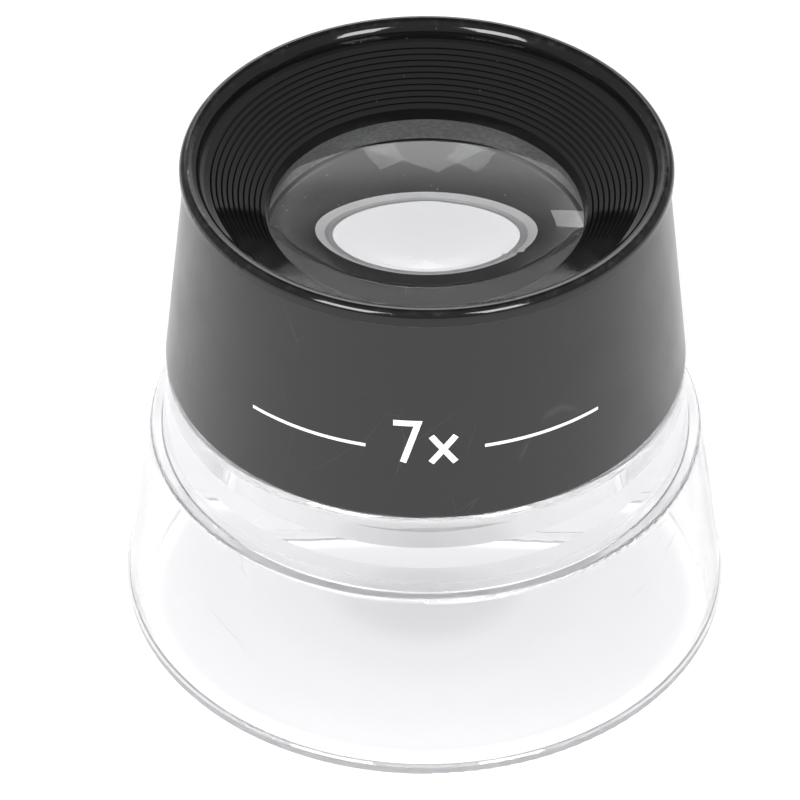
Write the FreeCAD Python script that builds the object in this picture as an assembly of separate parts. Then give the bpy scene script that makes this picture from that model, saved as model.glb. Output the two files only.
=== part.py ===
# Free-standing viewing loupe: clear stand, satin shell on a lens barrel, screw-in eyepiece, flat-topped lens.
# Millimetres. +Z is the optical axis, pointing at the eye. The origin is the centre of the stand's foot,
# on the surface it stands on. Every piece is turned about Z.
import FreeCAD, Part
import os
from math import cos, radians, sin, sqrt

# ---- driving dimensions -------------------------------------------------------------------------
# clear stand
FOOT_R = 25.0          # widest radius, at the foot
FOOT_LIP_H = 0.95      # height of the small upright lip round the foot
FOOT_ROUND = 0.4
FOOT_INNER_R = 22.9    # skirt cavity at the foot
SKIRT_TOP_R = 22.5     # outside of the skirt just under the ledge
LEDGE_Z = 16.8
LEDGE_ROUND = 0.35
NECK_BASE_R = 21.5     # neck where it leaves the ledge
NECK_TOP_R = 20.95
NECK_TOP_Z = 24.0
NECK_ROUND = 1.1
NECK_BORE_R = 18.25
NECK_BORE_Z = 19.6     # lower end of the bore
CAVITY_TOP_R = 20.2    # skirt cavity just under the neck
CAVITY_TOP_Z = 15.8
SPIGOT_R = 18.14       # clear collar that rises inside the shell
SPIGOT_BORE_R = 16.36  # guides the lens barrel
SPIGOT_Z0, SPIGOT_Z1 = 22.9, 30.0

# satin shell
SHELL_Z0, SHELL_Z1 = 24.05, 41.75
SHELL_R0, SHELL_R1 = 20.95, 18.95
SHELL_BORE_R = 18.2
SHELL_EDGE = 0.15
SHELL_LEAD = 0.4         # bevel in the bore that clears the root of the clear collar

# lens barrel: hangs in the shell from its flange and ends inside the neck
BARREL_R, BARREL_IN_R = 16.3, 15.65
BARREL_Z0, BARREL_Z1 = 19.3, 33.0
FLANGE_R, FLANGE_Z0 = 18.18, 30.5

# milky ring under the barrel, so that the barrel does not scratch the clear stand
RING_R, RING_IN_R = 16.2, 15.1
RING_Z0 = 18.95

# eyepiece: rim, ribbed glare cone, threaded tube, socket for the lens cell
RIM_R = 19.3
RIM_Z0, RIM_Z1 = 41.78, 43.05
RIM_ROUND_OUT, RIM_ROUND_IN = 0.6, 1.0
CONE_R0, CONE_Z0 = 17.4, 41.55       # top of the ribbed cone
GROOVES = 10
GROOVE_R0, GROOVE_Z0 = 16.87, 41.25  # first groove
GROOVE_R1, GROOVE_Z1 = 13.08, 38.6   # last groove
GROOVE_W, GROOVE_DEPTH = 0.20, 0.16
THROAT_R, THROAT_Z = 12.4, 37.45     # sharp edge that frames the lens
THROAT_TOP_R, THROAT_TOP_Z = 12.68, 38.33
THREAD_R = 18.15
THREAD_IN_R = 17.0
TUBE_Z0 = 34.2
SOCKET_R, SOCKET_OUT_R = 14.88, 16.2

# lens cell and what it holds
CELL_R, CELL_IN_R = 14.85, 13.06
CELL_Z0 = 30.8
LENS_R = 13.0
LENS_CLEAR_R = 12.4
LENS_EDGE = 5.3        # height of the lens at its edge
EYE_CROWN_R = 150.0    # nearly flat face towards the eye
FILM_CROWN_R = 24.0    # strongly domed face towards the film
RETAINER_H = 1.35
RETAINER_IN_R = 12.5
SPANNER_W, SPANNER_H = 1.4, 0.8


# ---- helpers ------------------------------------------------------------------------------------
def v(r, z):
    return FreeCAD.Vector(r, 0.0, z)


def arc_point(centre, radius, angle):
    """Point on a circle in the profile plane; angle in degrees from +r towards +Z."""
    a = radians(angle)
    return centre[0] + radius * cos(a), centre[1] + radius * sin(a)


def lathe(path):
    """Solid of revolution about Z from a closed profile.

    path holds (r, z) corners; an entry ("arc", (rm, zm), (r, z)) bends through rm, zm on its way to r, z.
    """
    edges = []
    here = path[0]
    for step in path[1:] + [path[0]]:
        if step[0] == "arc":
            _, mid, end = step
            edges.append(Part.Arc(v(*here), v(*mid), v(*end)).toShape())
        else:
            end = step
            if abs(end[0] - here[0]) + abs(end[1] - here[1]) < 1e-9:
                continue
            edges.append(Part.makeLine(v(*here), v(*end)))
        here = end
    face = Part.Face(Part.Wire(edges))
    solid = face.revolve(FreeCAD.Vector(0, 0, 0), FreeCAD.Vector(0, 0, 1), 360)
    return solid if solid.Volume > 0 else solid.reversed()


def round_corner(centre, radius, a0, a1):
    """Arc step round a corner: from angle a0 to a1 about centre."""
    return "arc", arc_point(centre, radius, (a0 + a1) / 2), arc_point(centre, radius, a1)


def crown(radius, r):
    """Height of a spherical cap of the given radius, out to r."""
    return radius - sqrt(radius * radius - r * r)


def tube(r_in, r_out, z0, z1, bevel=0.2):
    """Plain ring with a bevel on its two outer edges."""
    return lathe([(r_in, z0), (r_out - bevel, z0), (r_out, z0 + bevel), (r_out, z1 - bevel),
                  (r_out - bevel, z1), (r_in, z1)])


# ---- pieces -------------------------------------------------------------------------------------
def clear_stand():
    f, n, k = FOOT_ROUND, NECK_ROUND, LEDGE_ROUND
    return lathe([
        (FOOT_INNER_R, 0.0),
        (FOOT_R - f, 0.0),
        round_corner((FOOT_R - f, f), f, -90, 0),
        (FOOT_R, FOOT_LIP_H),
        (FOOT_R - 0.16, FOOT_LIP_H + 0.14),
        (SKIRT_TOP_R, LEDGE_Z - k),
        round_corner((SKIRT_TOP_R - k, LEDGE_Z - k), k, 0, 90),
        (NECK_BASE_R + 0.1, LEDGE_Z),
        (NECK_BASE_R, LEDGE_Z + 0.1),
        (NECK_TOP_R, NECK_TOP_Z - n),
        round_corner((NECK_TOP_R - n, NECK_TOP_Z - n), n, 0, 90),
        (SPIGOT_R + 0.26, NECK_TOP_Z),
        (SPIGOT_R, NECK_TOP_Z + 0.2),
        (SPIGOT_R, SPIGOT_Z1 - 0.2),
        (SPIGOT_R - 0.2, SPIGOT_Z1),
        (SPIGOT_BORE_R + 0.2, SPIGOT_Z1),
        (SPIGOT_BORE_R, SPIGOT_Z1 - 0.2),
        (SPIGOT_BORE_R, SPIGOT_Z0),
        (NECK_BORE_R, SPIGOT_Z0 - 0.3),
        (NECK_BORE_R, NECK_BORE_Z),
        (CAVITY_TOP_R - 0.9, NECK_BORE_Z - 1.5),
        (CAVITY_TOP_R, CAVITY_TOP_Z),
    ])


def satin_shell():
    e = SHELL_EDGE
    return lathe([
        (SHELL_BORE_R, SHELL_Z0 + SHELL_LEAD),
        (SHELL_BORE_R + SHELL_LEAD, SHELL_Z0),
        (SHELL_R0 - e, SHELL_Z0),
        round_corner((SHELL_R0 - e, SHELL_Z0 + e), e, -90, 0),
        (SHELL_R1, SHELL_Z1 - e),
        (SHELL_R1 - e, SHELL_Z1),
        (SHELL_BORE_R, SHELL_Z1),
    ])


def lens_barrel():
    return lathe([
        (BARREL_IN_R, BARREL_Z0),
        (BARREL_R - 0.2, BARREL_Z0),
        (BARREL_R, BARREL_Z0 + 0.2),
        (BARREL_R, FLANGE_Z0),
        (FLANGE_R, FLANGE_Z0),
        (FLANGE_R, BARREL_Z1 - 0.2),
        (FLANGE_R - 0.2, BARREL_Z1),
        (BARREL_IN_R, BARREL_Z1),
    ])


def glide_ring():
    z0, z1, c = RING_Z0, BARREL_Z0, 0.1
    return lathe([
        (RING_IN_R + c, z0), (RING_R - c, z0), (RING_R, z0 + c), (RING_R, z1),
        (RING_IN_R + c, z1), (RING_IN_R, z1 - c), (RING_IN_R, z0 + c),
    ])


def rib_profile():
    """Corners of the ribbed cone, from its last groove up to its top edge."""
    dr = (GROOVE_R0 - GROOVE_R1) / (GROOVES - 1)
    dz = (GROOVE_Z0 - GROOVE_Z1) / (GROOVES - 1)
    run = sqrt(dr * dr + dz * dz)
    ur, uz = dr / run, dz / run            # up the cone
    nr, nz = uz, -ur                       # into the plastic
    points = []
    for i in reversed(range(GROOVES)):
        r, z = GROOVE_R0 - dr * i, GROOVE_Z0 - dz * i
        half = GROOVE_W / 2
        for along, deep in ((-half, 0), (-half * 0.35, GROOVE_DEPTH), (half * 0.35, GROOVE_DEPTH), (half, 0)):
            points.append((r + ur * along + nr * deep, z + uz * along + nz * deep))
    return points


def eyepiece():
    ro, ri = RIM_ROUND_OUT, RIM_ROUND_IN
    crest_r = RIM_R - ro
    return lathe(
        [(THROAT_R, THROAT_Z), (THROAT_TOP_R, THROAT_TOP_Z)]
        + rib_profile()
        + [
            (CONE_R0, CONE_Z0),
            (crest_r - ri, CONE_Z0 + 0.12),
            (crest_r - ri, RIM_Z1 - ri),
            round_corner((crest_r, RIM_Z1 - ri), ri, 180, 90),
            round_corner((crest_r, RIM_Z1 - ro), ro, 90, 0),
            (RIM_R, RIM_Z0 + 0.12),
            (RIM_R - 0.12, RIM_Z0),
            (THREAD_R, RIM_Z0),
            (THREAD_R, TUBE_Z0 + 0.25),
            (THREAD_R - 0.25, TUBE_Z0),
            (THREAD_IN_R, TUBE_Z0),
            (THREAD_IN_R, 39.75),
            (SOCKET_OUT_R, 39.2),
            (SOCKET_OUT_R, TUBE_Z0),
            (SOCKET_R, TUBE_Z0),
            (SOCKET_R, THROAT_Z),
        ])


def lens_cell():
    return tube(CELL_IN_R, CELL_R, CELL_Z0, THROAT_Z)


def magnifier_lens():
    top, bottom = THROAT_Z, THROAT_Z - LENS_EDGE
    c = LENS_CLEAR_R
    up, down = crown(EYE_CROWN_R, c), crown(FILM_CROWN_R, c)
    return lathe([
        (0.0, bottom - down),
        ("arc", (c / 2, bottom - down + crown(FILM_CROWN_R, c / 2)), (c, bottom)),
        (LENS_R - 0.15, bottom),
        (LENS_R, bottom + 0.15),
        (LENS_R, top - 0.15),
        (LENS_R - 0.15, top),
        (c, top),
        ("arc", (c / 2, top + up - crown(EYE_CROWN_R, c / 2)), (0.0, top + up)),
    ])


def retaining_ring():
    z1 = THROAT_Z - LENS_EDGE
    z0 = z1 - RETAINER_H
    ring = lathe([(RETAINER_IN_R, z0), (CELL_IN_R - 0.03, z0), (CELL_IN_R - 0.03, z1),
                  (RETAINER_IN_R + 0.1, z1), (RETAINER_IN_R, z1 - 0.1)])
    slot = Part.makeBox(2 * CELL_IN_R + 2, SPANNER_W, SPANNER_H)
    slot.translate(FreeCAD.Vector(-CELL_IN_R - 1, -SPANNER_W / 2, z0))
    return ring.cut(slot)


PIECES = {
    "clear_stand": clear_stand,
    "satin_shell": satin_shell,
    "lens_barrel": lens_barrel,
    "glide_ring": glide_ring,
    "eyepiece": eyepiece,
    "lens_cell": lens_cell,
    "magnifier_lens": magnifier_lens,
    "retaining_ring": retaining_ring,
}

os.makedirs("parts", exist_ok=True)
for name, build in PIECES.items():
    shape = build()
    if not shape.isValid() or len(shape.Solids) != 1:
        raise ValueError("piece %s is not one valid solid" % name)
    shape.exportStep(os.path.join("parts", name + ".step"))
    box = shape.BoundBox
    print("%-16s vol %8.1f  r %.2f  z %.2f..%.2f" % (name, shape.Volume, box.XMax, box.ZMin, box.ZMax))
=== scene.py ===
from math import cos, hypot, pi, radians, sin
import bpy
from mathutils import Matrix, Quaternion, Vector


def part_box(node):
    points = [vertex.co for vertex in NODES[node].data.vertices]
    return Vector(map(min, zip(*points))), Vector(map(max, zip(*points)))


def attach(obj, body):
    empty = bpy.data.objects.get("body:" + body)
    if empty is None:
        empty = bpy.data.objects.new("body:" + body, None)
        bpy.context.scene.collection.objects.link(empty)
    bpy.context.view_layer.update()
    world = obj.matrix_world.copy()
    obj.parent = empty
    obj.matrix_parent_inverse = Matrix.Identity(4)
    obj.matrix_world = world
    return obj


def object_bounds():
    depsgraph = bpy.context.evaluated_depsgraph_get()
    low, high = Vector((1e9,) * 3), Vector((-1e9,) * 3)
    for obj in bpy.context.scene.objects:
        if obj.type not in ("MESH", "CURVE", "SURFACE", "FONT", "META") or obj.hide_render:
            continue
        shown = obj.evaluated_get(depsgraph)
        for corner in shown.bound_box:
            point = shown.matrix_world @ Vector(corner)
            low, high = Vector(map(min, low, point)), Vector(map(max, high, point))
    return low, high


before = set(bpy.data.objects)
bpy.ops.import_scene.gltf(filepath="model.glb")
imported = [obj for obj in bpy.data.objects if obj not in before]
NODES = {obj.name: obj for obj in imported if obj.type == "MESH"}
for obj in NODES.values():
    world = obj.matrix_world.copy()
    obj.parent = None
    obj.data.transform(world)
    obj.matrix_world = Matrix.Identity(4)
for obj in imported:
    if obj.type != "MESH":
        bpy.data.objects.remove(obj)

CAD_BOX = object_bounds()
MM = 0.001                              # lengths below are in metres unless they say otherwise

FOOT_R = CAD_BOX[1][0]
RIM_Z = CAD_BOX[1][2]
LEDGE_Z = 16.8 * MM                     # top of the clear skirt


# ---- camera -------------------------------------------------------------------------------------
CAM_DIST = 10.666 * FOOT_R
CAM_HEIGHT = 9.869 * FOOT_R
CAM_PITCH = radians(40.60)
CAM_YAW = radians(-0.447)
CAM_LENS = 193.7                        # millimetres, like the sensor
SENSOR_WIDTH = 36.0


def make_camera():
    data = bpy.data.cameras.new("camera")
    data.lens = CAM_LENS
    data.sensor_width = SENSOR_WIDTH
    data.clip_start = 0.01
    cam = bpy.data.objects.new("camera", data)
    cam.location = (0.0, -CAM_DIST, CAM_HEIGHT)
    look = Vector((sin(CAM_YAW) * cos(CAM_PITCH), cos(CAM_YAW) * cos(CAM_PITCH), -sin(CAM_PITCH)))
    cam.rotation_euler = look.to_track_quat("-Z", "Y").to_euler()
    bpy.context.scene.collection.objects.link(cam)
    bpy.context.scene.camera = cam


# ---- node helpers -------------------------------------------------------------------------------
def grey(level):
    return level, level, level, 1


class Tree:
    """A node tree, and short ways to add nodes to it."""

    def __init__(self, tree):
        self.tree = tree

    def find(self, kind):
        return next(n for n in self.tree.nodes if n.type == kind)

    def node(self, kind, inputs=None, **props):
        """Add a node. An input is either a value or another node's output."""
        n = self.tree.nodes.new(kind)
        for key, value in props.items():
            setattr(n, key, value)
        for key, value in (inputs or {}).items():
            if isinstance(value, bpy.types.NodeSocket):
                self.tree.links.new(value, n.inputs[key])
            else:
                n.inputs[key].default_value = value
        return n

    def maths(self, op, a, b=0.0):
        return self.node("ShaderNodeMath", {0: a, 1: b}, operation=op).outputs[0]

    def ramp(self, value, low, high, out_low=0.0, out_high=1.0, shape="LINEAR"):
        """Map low..high to out_low..out_high, and hold at the ends."""
        inputs = {"Value": value, "From Min": low, "From Max": high, "To Min": out_low, "To Max": out_high}
        return self.node("ShaderNodeMapRange", inputs, interpolation_type=shape).outputs["Result"]

    def mix(self, factor, a, b):
        """Colour that goes from a to b as the factor goes from 0 to 1."""
        return self.node("ShaderNodeMix", {0: factor, 6: a, 7: b}, data_type="RGBA").outputs[2]

    def band(self, value, stops):
        """Grey that passes smoothly through (place, level) stops as the value goes from 0 to 1."""
        n = self.node("ShaderNodeValToRGB", {0: value})
        marks = n.color_ramp.elements
        n.color_ramp.interpolation = "EASE"
        while len(marks) < len(stops):
            marks.new(0.5)
        for mark, (place, level) in zip(marks, stops):
            mark.position = place
            mark.color = grey(level)
        return n.outputs["Color"]


class Mat(Tree):
    """A material with one Principled shader, and the textures that drive it."""

    def __init__(self, name, **sockets):
        self.mat = bpy.data.materials.new(name)
        self.mat.use_nodes = True
        super().__init__(self.mat.node_tree)
        self.shader = self.find("BSDF_PRINCIPLED")
        for key, value in sockets.items():
            self.shader.inputs[key.replace("_", " ")].default_value = value

    def drive(self, socket, output):
        self.tree.links.new(output, self.shader.inputs[socket])

    def coords(self, scale=(1, 1, 1)):
        place = self.node("ShaderNodeTexCoord").outputs["Object"]
        return self.node("ShaderNodeMapping", {"Vector": place, "Scale": scale}).outputs[0]

    def height(self):
        return self.node("ShaderNodeSeparateXYZ", {0: self.coords()}).outputs["Z"]

    def noise(self, scale, detail, stretch=(1, 1, 1)):
        inputs = {"Vector": self.coords(stretch), "Scale": scale, "Detail": detail}
        return self.node("ShaderNodeTexNoise", inputs).outputs["Fac"]

    def patches(self, scale, detail, low, high, out_low=0.0, out_high=1.0):
        """Noise whose low..high is spread over out_low..out_high."""
        return self.ramp(self.noise(scale, detail), low, high, out_low, out_high)

    def bump(self, height, distance, strength, under=None):
        """Bump by height. A bump made earlier can lie under it."""
        inputs = {"Height": height, "Distance": distance, "Strength": strength}
        if under is not None:
            inputs["Normal"] = under
        return self.node("ShaderNodeBump", inputs).outputs["Normal"]


def near_height(m, z, reach):
    """1 at height z, falling to 0 over reach."""
    away = m.maths("ABSOLUTE", m.maths("SUBTRACT", m.height(), z))
    return m.ramp(away, 0.0, reach, 1.0, 0.0)


SCRATCH_STRETCH = 0.04


def scratches(m, scale, width, seed):
    """Thin straight lines: the borders of cells pulled out along one direction, kept in a few patches."""
    place = m.node("ShaderNodeTexCoord").outputs["Object"]
    turned = m.node("ShaderNodeMapping", {"Vector": place, "Rotation": (0.9 * seed, 0.4, 1.3 * seed)})
    pulled = m.node("ShaderNodeMapping", {"Vector": turned.outputs[0], "Location": (seed, seed * 0.7, 0.3),
                                          "Scale": (1, SCRATCH_STRETCH, 1)})
    border = m.node("ShaderNodeTexVoronoi", {"Vector": pulled.outputs[0], "Scale": scale},
                    feature="DISTANCE_TO_EDGE").outputs["Distance"]
    thin = m.ramp(border, 0.0, width, 1.0, 0.0)
    return m.maths("MULTIPLY", thin, m.patches(scale * 0.5, 2.0, 0.56, 0.66))


def specks(m, scale, size):
    """Small scattered dust grains."""
    cell = m.node("ShaderNodeTexVoronoi", {"Vector": m.coords(), "Scale": scale}).outputs["Distance"]
    grain = m.ramp(cell, size * 0.6, size, 1.0, 0.0)
    return m.maths("MULTIPLY", grain, m.patches(scale * 0.35, 1.0, 0.52, 0.6))


def either(m, a, share_a, b, share_b):
    """The larger of two marks, each cut down to its share."""
    return m.maths("MAXIMUM", m.maths("MULTIPLY", a, share_a), m.maths("MULTIPLY", b, share_b))


# ---- materials ----------------------------------------------------------------------------------
def satin_black():
    m = Mat("satin_black", IOR=1.5, Sheen_Weight=0.5, Sheen_Roughness=0.3, Coat_Weight=0.25,
            Coat_Roughness=0.28)
    low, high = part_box("satin_shell")
    edges = m.maths("MAXIMUM", near_height(m, low.z + 0.07 * MM, 0.25 * MM),
                    near_height(m, high.z - 0.07 * MM, 0.2 * MM))
    worn = m.maths("MULTIPLY", edges, m.patches(900.0, 3, 0.35, 0.7))
    marks = m.maths("MAXIMUM", scratches(m, 260.0, 0.005, 2.0), specks(m, 900.0, 0.045))
    m.drive("Base Color", m.mix(either(m, worn, 0.5, marks, 0.18), (0.003, 0.003, 0.0031, 1), grey(0.14)))
    rough = m.patches(240.0, 4, 0.3, 0.7, 0.34, 0.44)
    m.drive("Roughness", m.maths("SUBTRACT", rough, m.maths("MULTIPLY", worn, 0.12)))
    uneven = m.bump(m.noise(700.0, 2), 0.04 * MM, 0.12)
    m.drive("Normal", m.bump(m.noise(5200.0, 2), 0.02 * MM, 0.45, uneven))
    return m.mat


def gloss_black():
    m = Mat("gloss_black", IOR=1.46)
    worn = m.maths("MULTIPLY", near_height(m, RIM_Z - 0.1 * MM, 0.22 * MM), m.patches(1200.0, 3, 0.5, 0.75))
    dust = specks(m, 1100.0, 0.06)
    m.drive("Base Color", m.mix(either(m, worn, 0.06, dust, 0.35), (0.0045, 0.0045, 0.005, 1), grey(0.25)))
    rough = m.patches(420.0, 4, 0.3, 0.7, 0.06, 0.11)
    m.drive("Roughness", m.maths("ADD", rough, either(m, worn, 0.2, dust, 0.2)))
    lines = m.bump(scratches(m, 400.0, 0.006, 4.0), 0.01 * MM, 0.3)
    m.drive("Normal", m.bump(m.noise(2600.0, 3), 0.01 * MM, 0.3, lines))
    return m.mat


def inner_black():
    m = Mat("inner_black", IOR=1.5)
    m.drive("Base Color", m.mix(m.patches(500.0, 4, 0.4, 0.75), grey(0.010), grey(0.020)))
    m.drive("Roughness", m.patches(300.0, 4, 0.3, 0.7, 0.42, 0.58))
    m.drive("Normal", m.bump(m.noise(5000.0, 2), 0.02 * MM, 0.4))
    return m.mat


def ground_edge():
    m = Mat("ground_edge", Roughness=0.75)
    m.drive("Base Color", m.mix(m.patches(2500.0, 4, 0.3, 0.7), grey(0.16), grey(0.26)))
    m.drive("Normal", m.bump(m.noise(9000.0, 2), 0.03 * MM, 0.4))
    return m.mat


RING_PITCH = 1.7 * MM                   # faint rings left on the clear skirt by the mould
RING_DEPTH = 0.0005 * MM
CORNER_ROUGHNESS = 0.30                 # at the ledge and the foot, which are softer than the walls


def moulded_rings(m):
    uneven = m.maths("MULTIPLY", m.noise(300.0, 2, (0.05, 0.05, 1)), 2.5)
    ring = m.maths("SINE", m.maths("ADD", m.maths("MULTIPLY", m.height(), 2 * pi / RING_PITCH), uneven))
    below_ledge = m.ramp(m.height(), LEDGE_Z * 0.8, LEDGE_Z * 0.95, 1.0, 0.0)
    return m.maths("MULTIPLY", ring, below_ledge)


def clear_acrylic():
    m = Mat("clear_acrylic", Base_Color=(0.970, 0.966, 0.985, 1), IOR=1.49, Transmission_Weight=0.91)
    marks = scratches(m, 200.0, 0.005, 1.0)
    haze = m.patches(90.0, 3, 0.4, 0.8, 0.0, 0.05)
    corners = m.maths("MAXIMUM", near_height(m, LEDGE_Z, 0.8 * MM), near_height(m, 0.0, 1.3 * MM))
    haze = m.maths("MAXIMUM", haze, m.maths("MULTIPLY", corners, CORNER_ROUGHNESS))
    m.drive("Roughness", m.maths("ADD", haze, m.maths("MULTIPLY", marks, 0.2)))
    waves = m.bump(m.noise(160.0, 2, (1, 1, 0.25)), 0.06 * MM, 0.05)
    rings = m.bump(moulded_rings(m), RING_DEPTH, 1.0, waves)
    m.drive("Normal", m.bump(marks, 0.01 * MM, 0.5, rings))
    return m.mat


def lens_face(name, shine):
    m = Mat(name, Base_Color=(0.93, 0.935, 0.94, 1), IOR=1.49, Transmission_Weight=1.0, Specular_Tint=shine)
    dust = m.maths("MAXIMUM", specks(m, 1500.0, 0.06), specks(m, 700.0, 0.035))
    m.drive("Roughness", m.maths("MULTIPLY", dust, 0.4))
    waves = m.bump(m.noise(220.0, 2), 0.004 * MM, 0.2)
    m.drive("Normal", m.bump(dust, 0.015 * MM, 0.5, waves))
    return m.mat


def lens_glass():
    return lens_face("lens_glass", grey(1.0))


def coated_glass():
    """The lens face towards the film: it gives back less light than the face towards the eye."""
    return lens_face("coated_glass", grey(0.25))


def milky_white():
    m = Mat("milky_white", IOR=1.45, Transmission_Weight=1.0)
    m.drive("Base Color", m.mix(m.patches(800.0, 3, 0.3, 0.7), grey(0.80), (0.72, 0.72, 0.71, 1)))
    m.drive("Roughness", m.patches(1500.0, 3, 0.3, 0.7, 0.4, 0.5))
    return m.mat


def print_white():
    m = Mat("print_white")
    m.drive("Base Color", m.mix(m.patches(1800.0, 4, 0.55, 0.75), grey(0.84), grey(0.62)))
    m.drive("Roughness", m.patches(1200.0, 3, 0.3, 0.7, 0.42, 0.58))
    return m.mat


MATERIALS = {
    "clear_stand": clear_acrylic,
    "satin_shell": satin_black,
    "lens_barrel": inner_black,
    "glide_ring": milky_white,
    "eyepiece": gloss_black,
    "lens_cell": inner_black,
    "magnifier_lens": lens_glass,
    "retaining_ring": inner_black,
}
LENS_GROUND = 0.25 * MM                 # faces this close to the lens's edge are ground


def paint():
    made = {}
    for name, make in MATERIALS.items():
        if make not in made:
            made[make] = make()
        mesh = NODES[name].data
        mesh.materials.clear()
        mesh.materials.append(made[make])


def paint_lens_faces():
    """Give the lens two more slots: its face towards the film, and its ground edge."""
    low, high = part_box("magnifier_lens")
    mesh = NODES["magnifier_lens"].data
    mesh.materials.append(coated_glass())
    mesh.materials.append(ground_edge())
    for face in mesh.polygons:
        if hypot(face.center.x, face.center.y) > high.x - LENS_GROUND:
            face.material_index = 2
        elif face.center.z < (low.z + high.z) / 2:
            face.material_index = 1


# ---- print on the shell -------------------------------------------------------------------------
PRINT_Z = 31.2 * MM                     # height of the middle of the print
PRINT_LIFT = 0.01 * MM
# the drawing, in millimetres from the middle of the print
SEVEN = ((-2.45, 1.70), (-0.55, 1.70), (-1.70, -1.88))
CROSS = (((0.45, -1.85), (2.35, 0.55)), ((0.45, 0.55), (2.35, -1.85)))
SIDE_LINE = ((4.6, -0.65), (14.5, -0.65))
THICK_LINE, THICK_STEP = 0.50, 0.25
THIN_LINE, THIN_STEP = 0.28, 0.5


def shell_cone():
    """Two rings of the shell's outer cone, lower and upper, each as (height, radius)."""
    low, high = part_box("satin_shell")
    rings = [(v.co.z, hypot(v.co.x, v.co.y)) for v in NODES["satin_shell"].data.vertices]
    upper = [(z, r) for z, r in rings if z > (low.z + high.z) / 2]
    return max(rings, key=lambda ring: ring[1]), max(upper, key=lambda ring: ring[1])


def on_shell(cone, u, w):
    """A point u mm round the shell from its front and w mm above the middle of the print."""
    (z0, r0), (z1, r1) = cone
    z = PRINT_Z + w * MM
    r = r0 + (r1 - r0) * (z - z0) / (z1 - z0) + PRINT_LIFT
    angle = -pi / 2 + u * MM / r
    return r * cos(angle), r * sin(angle), z


def subdivide(points, step):
    """The same line, cut into pieces about a step long."""
    fine = []
    for (u0, w0), (u1, w1) in zip(points, points[1:]):
        n = max(1, int(hypot(u1 - u0, w1 - w0) / step))
        fine += [(u0 + (u1 - u0) * i / n, w0 + (w1 - w0) * i / n) for i in range(n)]
    return fine + [points[-1]]


def stroke(cone, verts, faces, points, width, step):
    """One printed line of even width along points, with square ends and mitred corners."""
    points = [Vector(p) for p in subdivide(points, step)]
    legs = [(b - a).normalized() for a, b in zip(points, points[1:])]
    first = len(verts)
    for here, before, after in zip(points, legs[:1] + legs, legs + legs[-1:]):
        along = (before + after).normalized()
        across = Vector((-along.y, along.x)) * width / 2 / max(0.4, along.dot(before))
        for edge in (here + across, here - across):
            verts.append(on_shell(cone, edge.x, edge.y))
    for k in range(first, len(verts) - 2, 2):
        faces.append((k, k + 1, k + 3, k + 2))


def make_print():
    """A plain power mark, 7x, between two thin lines."""
    cone = shell_cone()
    verts, faces = [], []
    for line in (SEVEN, *CROSS):
        stroke(cone, verts, faces, line, THICK_LINE, THICK_STEP)
    for side in (-1, 1):
        stroke(cone, verts, faces, [(side * u, w) for u, w in SIDE_LINE], THIN_LINE, THIN_STEP)
    mesh = bpy.data.meshes.new("power_mark")
    mesh.from_pydata(verts, [], faces)
    mesh.materials.append(print_white())
    mark = bpy.data.objects.new("power_mark", mesh)
    bpy.context.scene.collection.objects.link(mark)
    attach(mark, "head")


# ---- studio -------------------------------------------------------------------------------------
FLOOR_HALF = 3.0
FLOOR_DROP = 0.02 * MM                  # keeps the floor clear of the foot
# painted light and shade on the floor: painted shade under the loupe, darkest in the middle, and a painted
# bright ring under the foot; each stop is distance from the middle of the foot, brightness
FLOOR_PAINTED_LIGHT_AND_SHADE = ((0.0, 0.26), (0.006, 0.36), (0.010, 0.52), (0.016, 0.60), (0.021, 0.66), (0.0235, 1.20),
              (0.0265, 0.70))


def make_floor():
    s = FLOOR_HALF
    mesh = bpy.data.meshes.new("floor")
    mesh.from_pydata([(-s, -s, 0), (s, -s, 0), (s, s, 0), (-s, s, 0)], [], [(0, 1, 2, 3)])
    floor = bpy.data.objects.new("floor", mesh)
    floor.location.z = -FLOOR_DROP
    bpy.context.scene.collection.objects.link(floor)
    m = Mat("floor", Base_Color=grey(0.35), Roughness=0.7, Specular_IOR_Level=0.0, Emission_Color=grey(1.0))
    radius = m.node("ShaderNodeVectorMath", {0: m.coords((1, 1, 0))}, operation="LENGTH").outputs["Value"]
    reach = FLOOR_PAINTED_LIGHT_AND_SHADE[-1][0]
    stops = [(r / reach, level) for r, level in FLOOR_PAINTED_LIGHT_AND_SHADE]
    # the floor's glow is painted, not even: painted shade under the loupe and a painted bright ring under
    # the foot
    m.drive("Emission Strength", m.band(m.ramp(radius, 0.0, reach), stops))
    mesh.materials.append(m.mat)


LIGHT_AIM = Vector((0, 0, 0.03))
# name, place, size, glow (1 is as bright as a white floor), turn about its own axis in degrees
LIGHTS = (
    ("key_left", (-0.40, -0.53, 0.60), (0.34, 0.42), 15.0, 0.0),
    ("key_right", (0.38, -0.54, 0.60), (0.26, 0.42), 15.0, 0.0),
    ("back_box", (-0.03, 1.0, 0.48), (0.30, 0.25), 1.4, -38.5),
    ("back_spot", (0.175, 1.0, 0.82), (0.045, 0.04), 3.0, 20.0),
)


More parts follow.
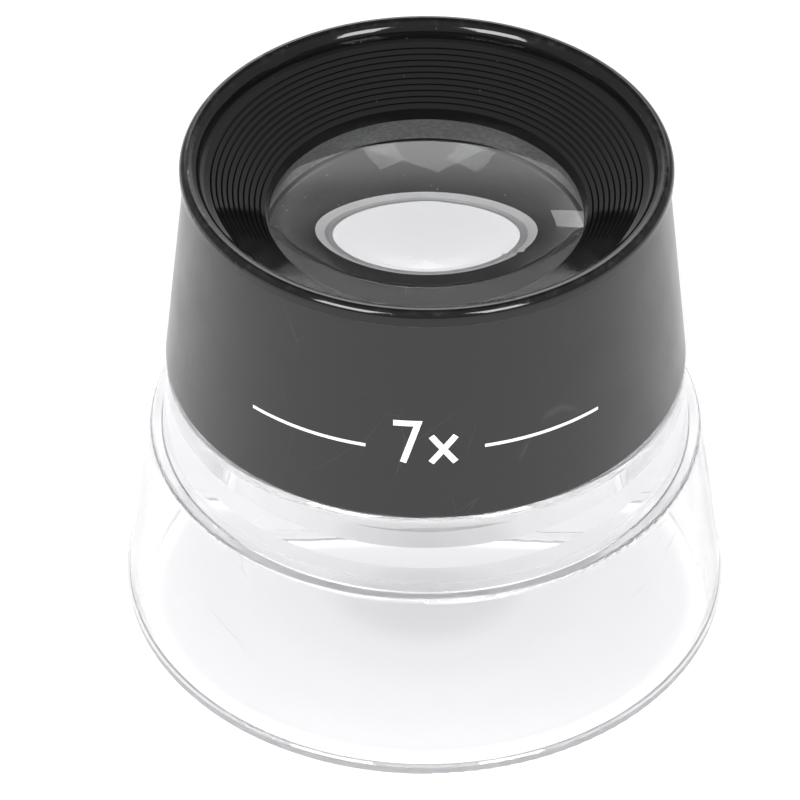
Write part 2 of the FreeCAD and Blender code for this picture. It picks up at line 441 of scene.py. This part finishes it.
def make_lights():
    """Soft boxes that face the loupe: two in front for the shell, two behind that the lens mirrors."""
    for name, place, size, glow, turn in LIGHTS:
        data = bpy.data.lights.new(name, "AREA")
        data.shape = "RECTANGLE"
        data.size, data.size_y = size
        data.energy = glow * pi * size[0] * size[1]
        lamp = bpy.data.objects.new(name, data)
        lamp.location = place
        facing = (LIGHT_AIM - Vector(place)).to_track_quat("-Z", "Y")
        lamp.rotation_euler = (facing @ Quaternion((0, 0, 1), radians(turn))).to_euler()
        bpy.context.scene.collection.objects.link(lamp)


# height on the sky behind the loupe (0 is the horizon, 1 is overhead), brightness
SKY = ((0.0, 1.0), (0.25, 1.1), (0.42, 1.7), (0.53, 1.8), (0.59, 0.7), (0.66, 0.15), (1.0, 0.15))
SKY_REST = 0.45                         # brightness of the sky everywhere else
SKY_STRENGTH = 4.0                      # colours are brightness over this, which keeps them below 1


def make_world():
    world = bpy.data.worlds.new("studio")
    bpy.context.scene.world = world
    world.use_nodes = True
    sky = Tree(world.node_tree)
    place = sky.node("ShaderNodeTexCoord").outputs["Generated"]
    xyz = sky.node("ShaderNodeSeparateXYZ", {0: place}).outputs
    back = sky.band(xyz["Z"], [(height, level / SKY_STRENGTH) for height, level in SKY])
    middle = sky.ramp(sky.maths("ABSOLUTE", xyz["X"]), 0.22, 0.5, 1.0, 0.0, "SMOOTHSTEP")
    behind = sky.maths("MULTIPLY", middle, sky.ramp(xyz["Y"], 0.0, 0.3, 0.0, 1.0, "SMOOTHSTEP"))
    background = sky.find("BACKGROUND")
    sky.tree.links.new(sky.mix(behind, grey(SKY_REST / SKY_STRENGTH), back), background.inputs["Color"])
    background.inputs["Strength"].default_value = SKY_STRENGTH


def make_light_paths():
    """Clear plastic leads light along its walls, so a ray may bounce many times inside it."""
    paths = bpy.context.scene.cycles
    paths.max_bounces = 32
    paths.glossy_bounces = 24
    paths.transmission_bounces = 24


make_camera()
make_light_paths()
make_world()
make_lights()
make_floor()
paint()
paint_lens_faces()
make_print()
bpy.context.scene.view_settings.view_transform = "Standard"
